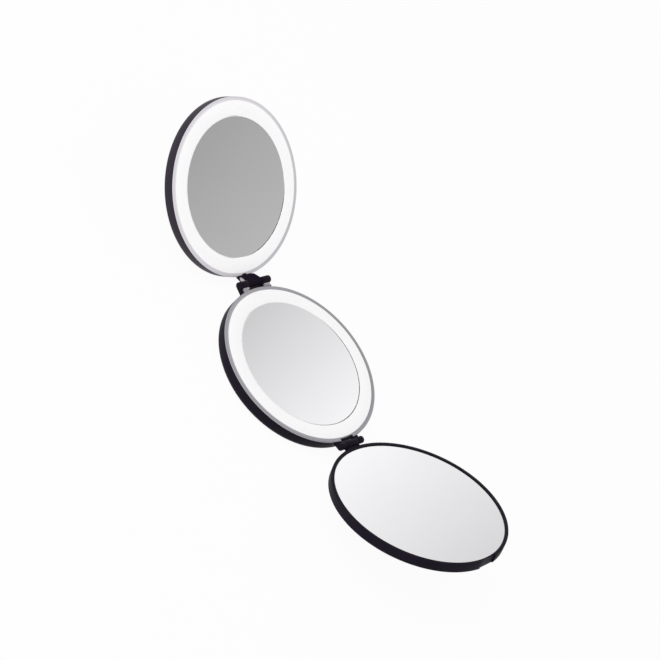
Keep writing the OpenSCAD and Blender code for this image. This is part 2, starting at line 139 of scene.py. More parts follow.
def spread_between(tree, factor, low, high):
    spread = add_node(tree, "ShaderNodeMapRange", To_Min=low, To_Max=high)
    tree.links.new(factor, spread.inputs["Value"])
    return spread.outputs["Result"]


def tint_between(tree, factor, dark, light):
    tint = tree.nodes.new("ShaderNodeMix")
    tint.data_type = "RGBA"
    tint.inputs["A"].default_value = (*dark, 1.0)
    tint.inputs["B"].default_value = (*light, 1.0)
    tree.links.new(factor, tint.inputs["Factor"])
    return tint.outputs["Result"]


def add_bump(tree, shader, height, strength, distance):
    bump = add_node(tree, "ShaderNodeBump", Strength=strength, Distance=distance)
    tree.links.new(height, bump.inputs["Height"])
    tree.links.new(bump.outputs["Normal"], shader.inputs["Normal"])


# %% [markdown]
# The shells are black plastic with a faint purple cast. The mould's spark-eroded surface leaves a
# fine grain that breaks up the shine, so the colour stays nearly black even where it faces a bright
# wall. A low specular level keeps that depth; a high one turns a wall that is seen at a slant grey.
# The upper leaf's wall does look paler in the photograph, and the arm that carries it looks darker, so each has
# its own shine and its own depth of black. These are lit and shaded copies of the one plastic: the paler, shinier
# wall is painted light and the darker arm is painted shade.

# %% Black moulded plastic
BLACK_TINTS = (0.01, 0.0075, 0.014), (0.014, 0.0105, 0.019)


def black_plastic(name, shine, depth=1.0):
    # depth scales the black's tints and shine sets its reflection; together they make the painted lit and shaded
    # copies
    dark, light = [tuple(depth * c for c in tint) for tint in BLACK_TINTS]
    material, tree, shader, place = start_material(name, dark, 0.5)
    shader.inputs["Specular IOR Level"].default_value = shine
    shader.inputs["Specular Tint"].default_value = (1.0, 0.86, 1.0, 1.0)
    broad = add_grain(tree, place, scale=70.0)
    fine = add_grain(tree, place, scale=2600.0, detail=2.0)
    tree.links.new(tint_between(tree, broad, dark, light), shader.inputs["Base Color"])
    tree.links.new(spread_between(tree, broad, low=0.42, high=0.54), shader.inputs["Roughness"])
    add_bump(tree, shader, fine, strength=0.2, distance=0.03 * MM)
    return material


# %% [markdown]
# Some finishes carry painted light that changes across a leaf: a rim's painted glow is strongest next to the light
# ring, and each leaf has a side that the light reaches less, where the rim's painted glow is weaker and the wall
# of the mirror's gap is painted dark. Such a change is measured in the leaf's own flat coordinates. A Mapping node
# undoes the leaf's place, and then one number says how far a point is from the leaf's centre and another how far
# it lies towards the dimmer side.

# %% Helpers for finishes that change across a leaf
# The direction on a leaf towards the side where less light is painted.
PAINTED_DIM_SIDE = (0.7, -0.7, 0.0)


def vector_math(tree, operation, first, second=None):
    made = tree.nodes.new("ShaderNodeVectorMath")
    made.operation = operation
    tree.links.new(first, made.inputs[0])
    if second is not None:
        made.inputs[1].default_value = second
    return made.outputs["Value" if operation in ("LENGTH", "DOT_PRODUCT") else "Vector"]


def point_on_leaf(tree, place, leaf_place):
    into_leaf = leaf_place.inverted()
    mapping = add_node(tree, "ShaderNodeMapping", Location=into_leaf.to_translation(),
                       Rotation=into_leaf.to_euler())
    tree.links.new(place, mapping.inputs["Vector"])
    return vector_math(tree, "MULTIPLY", mapping.outputs["Vector"], (1.0, 1.0, 0.0))


def change_from_to(tree, value, from_range, to_range):
    change = add_node(tree, "ShaderNodeMapRange", From_Min=from_range[0], From_Max=from_range[1],
                      To_Min=to_range[0], To_Max=to_range[1])
    tree.links.new(value, change.inputs["Value"])
    return change.outputs["Result"]


def multiply(tree, first, second):
    product = tree.nodes.new("ShaderNodeMath")
    product.operation = "MULTIPLY"
    for socket, value in zip(product.inputs, (first, second)):
        if isinstance(value, float):
            socket.default_value = value
        else:
            tree.links.new(value, socket)
    return product.outputs[0]


# %% [markdown]
# The rims are plastic plated with satin silver: nearly a metal, but soft and slightly lilac. The plating follows
# the mould's grain, so its shine is uneven at a scale of a few millimetres. The rims also have a painted glow, an
# emission that stands in for light falling on them: it is strongest next to the ring, much stronger on the upper
# leaf, and weaker on each leaf's dimmer side.

# %% Satin silver plating
RIM_SPAN = 42.0 * MM, 44.0 * MM
MID_RIM = 43.0 * MM
PAINTED_GLOW_NEAR_AND_FAR = 1.1, 0.85


def silver_plating(name, leaf_place, painted_glow, painted_glow_dim_side):
    material, tree, shader, place = start_material(name, (0.41, 0.4, 0.43), 0.36, metallic=0.85)
    broad = add_grain(tree, place, scale=60.0)
    fine = add_grain(tree, place, scale=3200.0, detail=2.0)
    tree.links.new(tint_between(tree, broad, (0.385, 0.375, 0.4), (0.44, 0.43, 0.46)),
                   shader.inputs["Base Color"])
    tree.links.new(spread_between(tree, broad, low=0.3, high=0.42), shader.inputs["Roughness"])
    add_bump(tree, shader, fine, strength=0.08, distance=0.02 * MM)
    # Painted glow: emission that stands in for light on the rim, strongest next to the ring and weaker towards the
    # dimmer side.
    point = point_on_leaf(tree, place, leaf_place)
    near_ring = change_from_to(tree, vector_math(tree, "LENGTH", point), RIM_SPAN, PAINTED_GLOW_NEAR_AND_FAR)
    painted_glow_by_side = change_from_to(tree, vector_math(tree, "DOT_PRODUCT", point, PAINTED_DIM_SIDE),
                            (-MID_RIM, MID_RIM), (painted_glow, painted_glow_dim_side))
    shader.inputs["Emission Color"].default_value = (1.0, 0.96, 1.0, 1.0)
    tree.links.new(multiply(tree, near_ring, painted_glow_by_side), shader.inputs["Emission Strength"])
    return material


# %% [markdown]
# The mirrors are glass silvered at the back. Real glass could be modelled over a metal sheet, but the two are
# bonded, so one metallic surface with almost no roughness looks the same and renders faster. A breath of
# unevenness in the silvering keeps it from looking computed. The edge is ground and not silvered: it is a pale,
# matt grey with a painted glow that stands in for a little of the ring's light on it.

# %% Silvered glass
def silvered_glass():
    material, tree, shader, place = start_material("silvered_glass", (0.9, 0.895, 0.91), 0.01,
                                                   metallic=1.0)
    film = add_grain(tree, place, scale=45.0)
    tree.links.new(tint_between(tree, film, (0.887, 0.882, 0.897), (0.912, 0.906, 0.923)),
                   shader.inputs["Base Color"])
    tree.links.new(spread_between(tree, film, low=0.0, high=0.02), shader.inputs["Roughness"])
    return material


def ground_glass():
    material, tree, shader, place = start_material("ground_glass_edge_painted_glow", (0.6, 0.62, 0.62), 0.5)
    grit = add_grain(tree, place, scale=900.0, detail=3.0)
    # Painted glow: the edge is no lamp; its emission stands in for the ring's light on it.
    shader.inputs["Emission Strength"].default_value = 0.25
    tree.links.new(tint_between(tree, grit, (0.56, 0.58, 0.58), (0.64, 0.66, 0.66)),
                   shader.inputs["Base Color"])
    tree.links.new(spread_between(tree, grit, low=0.4, high=0.6), shader.inputs["Roughness"])
    add_bump(tree, shader, grit, strength=0.2, distance=0.01 * MM)
    return material


# %% [markdown]
# The light rings are milky plastic lit from behind by the lamps under them. The glow is almost even, because the
# plastic scatters the light many times, and only a slow cloudiness is left. The wall of the ring beside the
# mirror's narrow gap is the same plastic with painted shade that comes and goes with the direction: on the dimmer
# side it is painted dark, where the gap falls in shadow, and on the other side it glows like the ring.

# %% Opal light ring
def opal_diffuser(name, glow):
    material, tree, shader, place = start_material(name, (0.6, 0.6, 0.6), 0.35)
    cloud = add_grain(tree, place, scale=120.0)
    shader.inputs["Emission Strength"].default_value = glow
    tree.links.new(tint_between(tree, cloud, (0.94, 0.93, 0.96), (1.0, 0.99, 1.0)),
                   shader.inputs["Emission Color"])
    return material


def gap_wall_painted_shade(name, leaf_place, glow, shade_from, shade_to):
    material, tree, shader, place = start_material(name, (0.6, 0.6, 0.6), 0.5)
    shader.inputs["Emission Color"].default_value = (0.97, 0.96, 0.98, 1.0)
    point = point_on_leaf(tree, place, leaf_place)
    along = vector_math(tree, "DOT_PRODUCT", vector_math(tree, "NORMALIZE", point), PAINTED_DIM_SIDE)
    span = (shade_from, shade_to)
    shade = change_from_to(tree, along, span, (0.0, 1.0))
    # Painted shade: the wall's colour goes dark towards the dimmer side, and its glow fades out there.
    tree.links.new(tint_between(tree, shade, (0.6, 0.6, 0.6), (0.06, 0.06, 0.065)),
                   shader.inputs["Base Color"])
    tree.links.new(change_from_to(tree, along, span, (glow, 0.0)),
                   shader.inputs["Emission Strength"])
    return material


# %% [markdown]
# The pieces inside are never seen while the mirror is whole, but they have finishes too, for anyone
# who opens it: foam tape, white plastic, boards, lamps, steel, the battery's foil and its leads. One
# recipe fits them all: a colour that drifts a little and a roughness that drifts with it.

# %% Helper for the finishes of the inner pieces
DARKER, LIGHTER = 0.85, 1.12
ROUGHNESS_DRIFT, SMOOTHEST = 0.08, 0.05


def plain_finish(name, color, roughness, metallic, scale):
    material, tree, shader, place = start_material(name, color, roughness, metallic)
    broad = add_grain(tree, place, scale)
    dark = tuple(DARKER * c for c in color)
    light = tuple(min(1.0, LIGHTER * c) for c in color)
    tree.links.new(tint_between(tree, broad, dark, light), shader.inputs["Base Color"])
    smooth, rough = max(SMOOTHEST, roughness - ROUGHNESS_DRIFT), roughness + ROUGHNESS_DRIFT
    tree.links.new(spread_between(tree, broad, smooth, rough), shader.inputs["Roughness"])
    return material


# %% [markdown]
# Now the finishes themselves. The upper leaf has its own version of each finish, with painted light: a paler and
# shinier black for its wall, a darker black for its arm, a stronger painted glow on its rim, a brighter glow in
# its light ring and less painted shade in the wall of its gap. The painted shade of a gap's wall starts and ends
# at two values of the direction, which runs from -1 on the bright side to 1 on the dim side.

# %% Finishes that show
BLACK = black_plastic("black_moulded_plastic", shine=0.05)
UPPER_BLACK_PAINTED_LIGHT = black_plastic("black_moulded_plastic_painted_light", shine=0.27, depth=1.4)
ARM_BLACK_PAINTED_SHADE = black_plastic("black_arm_plastic_painted_shade", shine=0.0, depth=1.1)
# Both rims carry a painted glow, the upper one's much stronger.
SILVER = silver_plating("satin_silver_plating", MIDDLE_PLACE, painted_glow=0.07, painted_glow_dim_side=0.0)
UPPER_SILVER_PAINTED_GLOW = silver_plating("satin_silver_plating_bright_painted_glow", UPPER_PLACE, painted_glow=0.47, painted_glow_dim_side=0.24)
MIRROR = silvered_glass()
GROUND_PAINTED_GLOW = ground_glass()
# Both rings are lamps with their own glow; the upper ring's higher glow is painted light.
UPPER_GLOW, MIDDLE_GLOW = 0.52, 0.42
OPAL = opal_diffuser("opal_light_ring", MIDDLE_GLOW)
UPPER_OPAL = opal_diffuser("opal_light_ring_painted_brighter", UPPER_GLOW)
MIDDLE_GAP_PAINTED_SHADE = gap_wall_painted_shade("middle_gap_wall", MIDDLE_PLACE, MIDDLE_GLOW, shade_from=0.1, shade_to=0.6)
UPPER_GAP_PAINTED_SHADE = gap_wall_painted_shade("upper_gap_wall", UPPER_PLACE, UPPER_GLOW, shade_from=0.7, shade_to=0.9)

# %% [markdown]
# The record names a slot for every part, such as steel or lamp. A table from slot to finish dresses
# all parts in one loop, and the pieces made later take their finish from the same table. A plain
# finish is given by its colour, its roughness, how metallic it is and the scale of its drift.

# %% A finish for every slot
finishes = {
    "black_shell": BLACK,
    "silver_bezel": SILVER,
    "mirror_glass": MIRROR,
    "light_ring": OPAL,
    "steel": plain_finish("plated_steel", (0.5, 0.5, 0.51), 0.3, 1.0, 200.0),
    "adhesive_pad": plain_finish("foam_tape", (0.06, 0.06, 0.06), 0.8, 0.0, 300.0),
    "white_plastic": plain_finish("white_plastic", (0.8, 0.8, 0.78), 0.45, 0.0, 80.0),
    "lamp_board": plain_finish("white_board", (0.78, 0.78, 0.76), 0.5, 0.0, 150.0),
    "lamp": plain_finish("lamp_lens", (0.9, 0.86, 0.6), 0.3, 0.0, 400.0),
    "battery_pouch": plain_finish("foil_pouch", (0.6, 0.61, 0.63), 0.42, 0.8, 60.0),
    "lead": plain_finish("lead_insulation", (0.4, 0.04, 0.03), 0.5, 0.0, 300.0),
    "circuit_board": plain_finish("green_board", (0.03, 0.14, 0.07), 0.4, 0.0, 150.0),
    "switch_plastic": plain_finish("dark_plastic", (0.05, 0.05, 0.05), 0.5, 0.0, 200.0),
}
slots = {}
for entry in frame["record"]["subparts"]:
    slots[entry["node"]] = entry["material_slot"]
    mesh = frame["nodes"][entry["node"]].data
    mesh.materials.clear()
    mesh.materials.append(finishes[entry["material_slot"]])
print("finishes:", len(finishes), "nodes dressed:", len(slots))

# %% [markdown]
# Every new piece ends the same way: its mesh goes into an object at the origin, its curved faces are
# shaded smooth up to its real corners, and it takes over its node's place, body and finish.

# %% Helpers that finish a piece
SMOOTH_BELOW = math.radians(32)
bodies = {node: body for body, nodes in frame["record"]["behaviour"]["bodies"].items()
          for node in nodes}


def new_object(name, shape):
    mesh = bpy.data.meshes.new(name)
    shape.to_mesh(mesh)
    shape.free()
    made = bpy.data.objects.new(name, mesh)
    bpy.context.scene.collection.objects.link(made)
    return made


def shade_up_to_corners(mesh):
    mesh.shade_smooth()
    mesh.set_sharp_from_angle(angle=SMOOTH_BELOW)


def finish_piece(name, shape, node, place=None):
    if place is not None:
        bmesh.ops.transform(shape, matrix=place, verts=shape.verts)
    piece = new_object(name, shape)
    piece.data.materials.append(finishes[slots[node]])
    shade_up_to_corners(piece.data)
    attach(piece, bodies[node])
    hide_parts(node)
    print(name, "faces:", len(piece.data.polygons), "on", bodies[node])
    return piece


# %% [markdown]
# The shells have all their shape already, but their edges are as sharp as knives, and no moulded
# edge is. A copy of each shell has its loose triangles joined and its flat areas cleaned up, and then
# every outward corner that shows gets a tiny rounding, which catches the light as a thin line.
# Where roundings meet in a tight spot, a vertex can be left on a sliver that is folded back on
# itself. It is welded onto its neighbour, so that the mesh stays one clean closed skin.

# %% Helper that softens a part's corners
EDGE_ROUNDING = 0.15 * MM
MERGE_WITHIN = 0.001 * MM
FLAT_BELOW = math.radians(0.4)
CORNER_ABOVE = math.radians(35)
FOLDED_BELOW = -0.99


def softened_copy(node, place, inner_radius, rounding=EDGE_ROUNDING):
    shape = bmesh.new()
    shape.from_mesh(frame["nodes"][node].data)
    bmesh.ops.remove_doubles(shape, verts=shape.verts, dist=MERGE_WITHIN)
    bmesh.ops.dissolve_limit(shape, angle_limit=FLAT_BELOW, verts=shape.verts, edges=shape.edges,
                             delimit=set())
    into_leaf = place.inverted()

    def shows(edge):
        middle = into_leaf @ ((edge.verts[0].co + edge.verts[1].co) / 2)
        return math.hypot(middle.x, middle.y) > inner_radius

    corners = [edge for edge in shape.edges
               if edge.is_manifold and edge.calc_face_angle_signed() > CORNER_ABOVE and shows(edge)]
    bmesh.ops.bevel(shape, geom=corners, offset=rounding, segments=2, profile=0.5,
                    affect="EDGES", material=-1, clamp_overlap=False)
    bmesh.ops.dissolve_degenerate(shape, dist=MERGE_WITHIN, edges=shape.edges)
    shape.normal_update()
    folded = [vert for vert in shape.verts if len(vert.link_faces) == 2
              and vert.link_faces[0].normal.dot(vert.link_faces[1].normal) < FOLDED_BELOW]
    neighbours = {vert: vert.link_edges[0].other_vert(vert) for vert in folded}
    bmesh.ops.weld_verts(shape, targetmap=neighbours)
    return shape


# %% [markdown]
# Only what is outside a shell's opening shows, so corners nearer the centre than that are left.

# %% Softened shells
shells = {}
for node, place, inner in (("middle_shell", MIDDLE_PLACE, 42.8 * MM),
                           ("upper_shell", UPPER_PLACE, 42.8 * MM),
                           ("lower_shell", LOWER_PLACE, 42.2 * MM)):
    shells[node] = finish_piece(node + "_softened", softened_copy(node, place, inner), node)

# %% [markdown]
# The upper shell takes two of the blacks: the paler copy with painted light for the dish and the darker copy with
# painted shade for the arm. The shell itself is a dish that stays under its rim and within its radius, so every
# face above or outside it belongs to the arm and the arm's knuckle.

# %% Blacks of the upper shell
DISH_TOP, DISH_OUT = 0.05, 44.1
upper_mesh = shells["upper_shell"].data
upper_mesh.materials[0] = UPPER_BLACK_PAINTED_LIGHT
upper_mesh.materials.append(ARM_BLACK_PAINTED_SHADE)
for face in upper_mesh.polygons:
    centre = UPPER_PLACE.inverted() @ face.center / MM
    if centre.z > DISH_TOP or math.hypot(centre.x, centre.y) > DISH_OUT:
        face.material_index = 1
print("faces of the arm:", sum(face.material_index for face in upper_mesh.polygons))

# %% [markdown]
# A light ring, a rim and a mirror are all turned shapes. Each starts as half of its cross-section,
# given as radius and height in millimetres, and one full spin closes it. Merging the spin's ends is
# what makes it a closed solid.

# %% Helpers for turned pieces
SPIN_STEPS = 180
SAME_PLACE = 0.02 * MM


def turned(section):
    shape = bmesh.new()
    corners = [shape.verts.new((radius * MM, 0, height * MM)) for radius, height in section]
    for first, second in zip(corners, corners[1:] + corners[:1]):
        shape.edges.new((first, second))
    bmesh.ops.spin(shape, geom=shape.verts[:] + shape.edges[:], cent=(0, 0, 0), axis=(0, 0, 1),
                   angle=2 * math.pi, steps=SPIN_STEPS, use_merge=True)
    bmesh.ops.recalc_face_normals(shape, faces=shape.faces)
    return shape


def round_rim(shape, radius, height, rounding, segments=3):
    def on_rim(vert):
        return (abs(math.hypot(vert.co.x, vert.co.y) - radius * MM) < SAME_PLACE
                and abs(vert.co.z - height * MM) < SAME_PLACE)

    rim = [edge for edge in shape.edges if on_rim(edge.verts[0]) and on_rim(edge.verts[1])]
    bmesh.ops.bevel(shape, geom=rim, offset=rounding * MM, segments=segments, profile=0.5,
                    affect="EDGES", material=-1)


# %% [markdown]
# The sizes come from the parts themselves. Each part is measured flat, in its own leaf's
# coordinates, where its reach along X is its radius and its highest point is its face.

# %% Measuring a part flat on its leaf
MIRROR_GAP = 0.3


def flat_points(node, place, above=-math.inf):
    """A part's points in its leaf's coordinates, in millimetres, those above a height."""
    points = [place.inverted() @ vert.co / MM for vert in frame["nodes"][node].data.vertices]
    return [point for point in points if point.z > above]


def measured(node, place, above=-math.inf):
    """The lowest and the highest corner of those points."""
    axes = list(zip(*flat_points(node, place, above)))
    return Vector([min(axis) for axis in axes]), Vector([max(axis) for axis in axes])


ring_low, ring_high = measured("middle_diffuser", MIDDLE_PLACE)
glass_high = measured("middle_mirror", MIDDLE_PLACE)[1]
RING_OUT, RING_TOP, RING_FOOT = ring_high.x, ring_high.z, ring_low.z
RING_IN = glass_high.x + MIRROR_GAP
print("ring from", round(RING_IN, 2), "to", round(RING_OUT, 2), "deep", round(RING_TOP - RING_FOOT, 2))

# %% [markdown]
# The light ring stands on two legs, one each side of its lamps. Its face has softly rounded edges.
# The wall beside the mirror's gap gets its own material, as the second of the piece's two.

# %% Light rings
RING_SKIN, RING_LEG = 1.0, 0.8
RING_EDGE, RING_GAP_EDGE = 0.2, 0.12


def light_ring():
    under = RING_TOP - RING_SKIN
    shape = turned([(RING_IN, RING_TOP), (RING_OUT, RING_TOP), (RING_OUT, RING_FOOT),
                    (RING_OUT - RING_LEG, RING_FOOT), (RING_OUT - RING_LEG, under),
                    (RING_IN + RING_LEG, under), (RING_IN + RING_LEG, RING_FOOT),
                    (RING_IN, RING_FOOT)])
    for face in shape.faces:
        middle = face.calc_center_median()
        if math.hypot(middle.x, middle.y) < RING_IN * MM + SAME_PLACE:
            face.material_index = 1
    round_rim(shape, RING_OUT, RING_TOP, RING_EDGE)
    round_rim(shape, RING_IN, RING_TOP, RING_GAP_EDGE)
    return shape


for node, place, front, gap in (("middle_diffuser", MIDDLE_PLACE, OPAL, MIDDLE_GAP_PAINTED_SHADE),
                                ("upper_diffuser", UPPER_PLACE, UPPER_OPAL, UPPER_GAP_PAINTED_SHADE)):
    ring = finish_piece(node + "_opal", light_ring(), node, place)
    ring.data.materials[0] = front
    ring.data.materials.append(gap)

# %% [markdown]
# A mirror is a disc of glass with its front edge ground to a narrow bevel. The flat face has to stay
# truly flat, or its reflections would bend, so the bevel's edges count as corners in the shading.

# %% Mirrors
GROUND_EDGE = 0.12
UPRIGHT = 0.99


def mirror_disc(radius, top, back):
    shape = turned([(0, top), (radius, top), (radius, back), (0, back)])
    bmesh.ops.remove_doubles(shape, verts=shape.verts, dist=MERGE_WITHIN)
    bmesh.ops.dissolve_limit(shape, angle_limit=FLAT_BELOW, verts=shape.verts, edges=shape.edges,
                             delimit=set())
    round_rim(shape, radius, top, GROUND_EDGE, segments=1)
    for face in shape.faces:
        if abs(face.normal.z) < UPRIGHT:
            face.material_index = 1
    return shape


for node, place in (("middle_mirror", MIDDLE_PLACE), ("upper_mirror", UPPER_PLACE),
                    ("lower_mirror", LOWER_PLACE)):
    low, high = measured(node, place)
    disc = finish_piece(node + "_glass", mirror_disc(high.x, high.z, low.z), node, place)
    disc.data.materials.append(GROUND_PAINTED_GLOW)

# %% [markdown]
# The silver rims are cut away for the hinges, and one of them carries two lugs. Both are done with
# Booleans, which take the shape of one closed mesh out of another, or join the two, and keep the
# result closed. The modifiers' result is read back as a plain mesh, so nothing stays live.

# %% Helpers that cut shapes out of a piece or join them to it
def box_shape(low, high):
    shape = bmesh.new()
    bmesh.ops.create_cube(shape, size=1.0)
    bmesh.ops.scale(shape, vec=[(b - a) * MM for a, b in zip(low, high)], verts=shape.verts)
    bmesh.ops.translate(shape, vec=[(a + b) / 2 * MM for a, b in zip(low, high)], verts=shape.verts)
    return shape


def combine(piece, place, operation, shapes):
    helpers = []
    for shape in shapes:
        bmesh.ops.transform(shape, matrix=place, verts=shape.verts)
        helpers.append(new_object("helper", shape))
        step = piece.modifiers.new("step", "BOOLEAN")
        step.operation = operation
        step.solver = "EXACT"
        step.object = helpers[-1]
    bpy.context.view_layer.update()
    shown = piece.evaluated_get(bpy.context.evaluated_depsgraph_get())
    result = bpy.data.meshes.new_from_object(shown)
    piece.modifiers.clear()
    for helper in helpers:
        bpy.data.objects.remove(helper)
    shape = bmesh.new()
    shape.from_mesh(result)
    bmesh.ops.dissolve_degenerate(shape, dist=MERGE_WITHIN, edges=shape.edges)
    shape.to_mesh(result)
    shape.free()
    piece.data = result
    shade_up_to_corners(result)
    print(piece.name, operation.lower(), "leaves", len(result.polygons), "faces")


# %% [markdown]
# A rim is a flat lip that lies on the wall, with a skirt inside it. It is turned like the light
# rings, and its edges are rounded while it is still a whole ring. It ends a hair inside the part it
# stands for, so that the looks never outgrow the model.

# %% Silver rims
SEAT_CLEAR, SKIRT_T, LIP_T, HAIR = 0.05, 0.6, 0.5, 0.02
OUTER_EDGE, INNER_EDGE = 0.3, 0.12
RIM_OUT = measured("upper_bezel", UPPER_PLACE)[1].x - HAIR
RIM_IN = RING_OUT + SEAT_CLEAR
RIM_SKIRT_OUT = RIM_IN + SKIRT_T


def silver_rim():
    shape = turned([(RIM_IN, 0), (RIM_OUT, 0), (RIM_OUT, -LIP_T), (RIM_SKIRT_OUT, -LIP_T),
                    (RIM_SKIRT_OUT, RING_FOOT), (RIM_IN, RING_FOOT)])
    round_rim(shape, RIM_OUT, 0, OUTER_EDGE, segments=4)
    round_rim(shape, RIM_IN, 0, INNER_EDGE, segments=2)
    return shape


upper_rim = finish_piece("upper_bezel_rim", silver_rim(), "upper_bezel", UPPER_PLACE)
upper_rim.data.materials[0] = UPPER_SILVER_PAINTED_GLOW
middle_rim = finish_piece("middle_bezel_rim", silver_rim(), "middle_bezel", MIDDLE_PLACE)

# %% [markdown]
# Each rim gives way to a hinge, and each cut is a plain box. The upper rim makes room for the arm,
# and for a short slot in line with it. The middle rim makes room for the ears of the lower hinge.
# The arm is measured on the shell, and its size is rounded to a micrometre, because a Boolean can
# leave slivers where two shapes miss each other by less than that.

# %% Cuts for the hinges
arm_high = measured("upper_shell", UPPER_PLACE, above=DISH_TOP)[1]
ROOM = 0.1
ARM_HALF, ARM_END_Y = round(arm_high.x + ROOM, 3), round(arm_high.y + ROOM, 3)
SLOT_HALF, SLOT_END_Y = 1.5, -42.6
EARS_HALF, EARS_END_Y = 4.5, -42.45
PAST_RIM_Y, CUT_H = -46, 1.5
print("room for the arm:", round(2 * ARM_HALF, 2), "wide, from", round(ARM_END_Y, 2), "outwards")

combine(upper_rim, UPPER_PLACE, "DIFFERENCE", [
    box_shape((-ARM_HALF, PAST_RIM_Y, -CUT_H), (ARM_HALF, ARM_END_Y, CUT_H)),
    box_shape((-SLOT_HALF, ARM_END_Y - ROOM, -LIP_T), (SLOT_HALF, SLOT_END_Y, CUT_H)),
])
combine(middle_rim, MIDDLE_PLACE, "DIFFERENCE", [
    box_shape((-EARS_HALF, PAST_RIM_Y, -LIP_T), (EARS_HALF, EARS_END_Y, LIP_T)),
])

# %% [markdown]
# Beside the upper hinge the middle rim swells into two small lugs that lie over the hinge's ears.
# Each is a low foot, level with the rim's lip, and a head on it that stands up a little further out.
# Both are blocks whose inner side follows the rim: a cube is cut across twice, and the vertices of
# its inner side are moved onto a circle. The rim's own part gives the lugs' sizes.

# %% Lugs beside the upper hinge
lug_points = flat_points("middle_bezel", MIDDLE_PLACE, above=DISH_TOP)
LUG_FROM_X = min(abs(point.x) for point in lug_points)
LUG_TO_X = max(abs(point.x) for point in lug_points)
LUG_OUT_Y = max(point.y for point in lug_points)
LUG_H = max(point.z for point in lug_points)
LUG_EDGE = 0.12
LUG_CORNER_ABOVE = math.radians(60)
print("lugs from", round(LUG_FROM_X, 2), "to", round(LUG_TO_X, 2), "high", round(LUG_H, 2))


def lug_block(side, inner_radius, bottom, top):
    shape = bmesh.new()
    bmesh.ops.create_cube(shape, size=1.0)
    for cut_x in (-0.25, 0.25):
        bmesh.ops.bisect_plane(shape, geom=shape.verts[:] + shape.edges[:] + shape.faces[:],
                               plane_co=(cut_x, 0, 0), plane_no=(1, 0, 0))
    for vert in shape.verts:
        x = LUG_FROM_X + (vert.co.x + 0.5) * (LUG_TO_X - LUG_FROM_X)
        y = LUG_OUT_Y if vert.co.y > 0 else math.sqrt(inner_radius ** 2 - x ** 2)
        z = top if vert.co.z > 0 else bottom
        vert.co = Vector((side * x, y, z)) * MM
    bmesh.ops.recalc_face_normals(shape, faces=shape.faces)
    top_edges = [edge for edge in shape.edges if len(edge.link_faces) == 2
                 and edge.calc_face_angle() > LUG_CORNER_ABOVE
                 and max(vert.co.z for vert in edge.verts) > top * MM - SAME_PLACE / 2]
    bmesh.ops.bevel(shape, geom=top_edges, offset=LUG_EDGE * MM, segments=2, profile=0.5,
                    affect="EDGES", material=-1)
    return shape


# %% [markdown]
# The foot reaches in under the rim's rounded edge, and the head stands off it by as much. Foot and
# head overlap by a hair, because a Boolean joins shapes that overlap better than shapes that touch.

# %% Lugs joined to the rim
LUG_STEP = 0.35
FOOT_TOP, HEAD_BOTTOM = -0.02, -0.05
combine(middle_rim, MIDDLE_PLACE, "UNION", [
    lug_block(side, inner_radius, bottom, top)
    for side in (-1, 1)
    for inner_radius, bottom, top in ((RIM_OUT - LUG_STEP, -LIP_T, FOOT_TOP),
                                      (RIM_OUT + LUG_STEP, HEAD_BOTTOM, LUG_H))
])

# %% [markdown]
# The small parts of the hinges and the wall are softened in the same way as the shells: the steel
# pins, the silver inlays in the arm, the power button and the charging port.

# %% Small parts
EVERYWHERE = -1.0
for node, rounding in (("upper_hinge_pin", 0.12), ("lower_hinge_pin", 0.1), ("power_button", 0.2),
                       ("charging_port", 0.06), ("arm_inlays", 0.06)):
    finish_piece(node + "_softened",
                 softened_copy(node, Matrix.Identity(4), EVERYWHERE, rounding * MM), node)

# %% [markdown]
# The floor is plain and pale. What the camera sees of it is nearly white because part of it glows,
# but only for rays that come from the camera, a reflection or a view through glass. For all other
# rays it is grey paper, so it neither floods the object with light nor loses the object's shadow.

# %% Helpers for the stage
WHITE = (1.0, 1.0, 1.0, 1.0)


def seen_directly(tree, with_camera=True):
    """1 where the camera, a reflection or a view through glass meets the surface."""
    path = tree.nodes.new("ShaderNodeLightPath")
    kinds = ["Is Glossy Ray", "Is Transmission Ray"] + (["Is Camera Ray"] if with_camera else [])
    found = path.outputs[kinds[0]]
    for kind in kinds[1:]:
        either = tree.nodes.new("ShaderNodeMath")
        either.operation = "MAXIMUM"
        tree.links.new(found, either.inputs[0])
        tree.links.new(path.outputs[kind], either.inputs[1])
        found = either.outputs[0]
    return found


def stage_piece(name, shape, material):
    piece = new_object(name, shape)
    piece.data.materials.append(material)
    print("stage:", name)


def blended_material(name, base, top_shader):
    """A material that mixes two shaders; the caller links the share of the second."""
    material = bpy.data.materials.new(name)
    material.use_nodes = True
    tree = material.node_tree
    tree.nodes.clear()
    output = tree.nodes.new("ShaderNodeOutputMaterial")
    blend = tree.nodes.new("ShaderNodeMixShader")
    lower_node = add_node(tree, base[0], **base[1])
    upper_node = add_node(tree, top_shader[0], **top_shader[1])
    tree.links.new(lower_node.outputs[0], blend.inputs[1])
    tree.links.new(upper_node.outputs[0], blend.inputs[2])
    tree.links.new(blend.outputs[0], output.inputs["Surface"])
    return material, tree, blend, upper_node


# %% [markdown]
# The floor itself is one wide square. How much of it glows sets how close to white it looks; the
# rest is paper that takes the object's soft shadow.

# %% Floor
FLOOR_GLOW, FLOOR_HALF = 0.95, 4.0
PAPER = (0.86, 0.86, 0.86, 1.0)
floor_material, tree, blend, _ = blended_material(
    "pale_floor", ("ShaderNodeBsdfDiffuse", {"Color": PAPER}),
    ("ShaderNodeEmission", {"Color": WHITE, "Strength": 1.0}))
tree.links.new(multiply(tree, seen_directly(tree), FLOOR_GLOW), blend.inputs["Fac"])
floor_shape = bmesh.new()
bmesh.ops.create_grid(floor_shape, x_segments=1, y_segments=1, size=FLOOR_HALF)
stage_piece("floor", floor_shape, floor_material)

